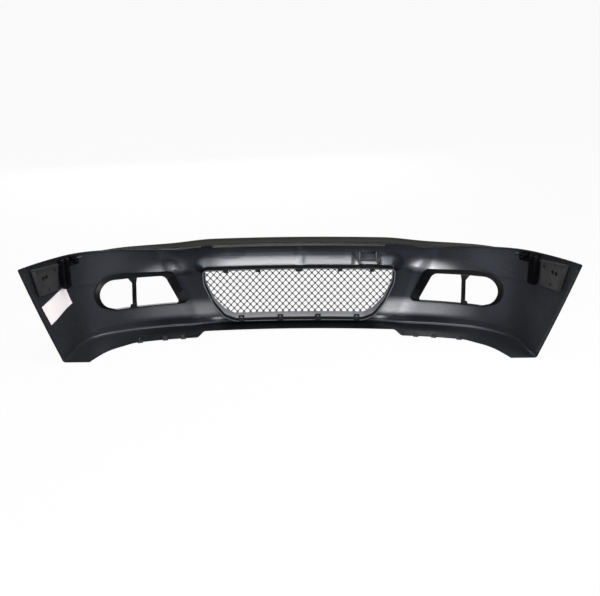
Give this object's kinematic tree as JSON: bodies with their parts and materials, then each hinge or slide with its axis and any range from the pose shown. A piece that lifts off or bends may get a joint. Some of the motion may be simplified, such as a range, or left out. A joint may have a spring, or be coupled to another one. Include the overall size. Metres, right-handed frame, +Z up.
{
  "type": "front bumper cover",
  "caption": "Front bumper cover for a passenger car: a curved moulded shell with a diamond mesh grille insert, split side ducts, wing brackets and a pull-out towing-eye cover.",
  "frame": {"origin": "middle of the outside box, at the level of the lower edge", "axes": "+X to the car's left, -Y forwards, +Z up"},
  "size_m": [1.7764, 0.4899, 0.3678],
  "materials": {
    "bumper_plastic": "satin",
    "grille_frame_plastic": "satin",
    "mesh_plastic": "satin",
    "clip_plastic": "matte",
    "bezel_plastic": "matte",
    "bracket_plastic": "satin",
    "screw_steel": "zinc plated",
    "nut_steel": "phosphated",
    "label_paper": "paper"
  },
  "bodies": {
    "bumper": {"bumper_skin": "bumper_plastic", "grille_frame": "grille_frame_plastic", "grille_mesh": "mesh_plastic", "grille_top_clips": "clip_plastic", "grille_bottom_clips": "clip_plastic", "left_duct_bezel": "bezel_plastic", "right_duct_bezel": "bezel_plastic", "left_duct_divider": "bezel_plastic", "right_duct_divider": "bezel_plastic", "left_side_bracket": "bracket_plastic", "right_side_bracket": "bracket_plastic", "left_bracket_rail": "bracket_plastic", "right_bracket_rail": "bracket_plastic", "left_bracket_screws": "screw_steel", "right_bracket_screws": "screw_steel", "left_lamp_bracket": "bracket_plastic", "right_lamp_bracket": "bracket_plastic", "left_undertray_nuts": "nut_steel", "right_undertray_nuts": "nut_steel", "paper_label": "label_paper"},
    "towing_cover": {"tow_eye_cover": "bumper_plastic"}
  },
  "joints": [
    {"name": "towing_cover_slide", "type": "slide", "parent": "bumper", "child": "towing_cover", "axis": [0, -1, 0], "range_m": [0, 0.05]}
  ]
}
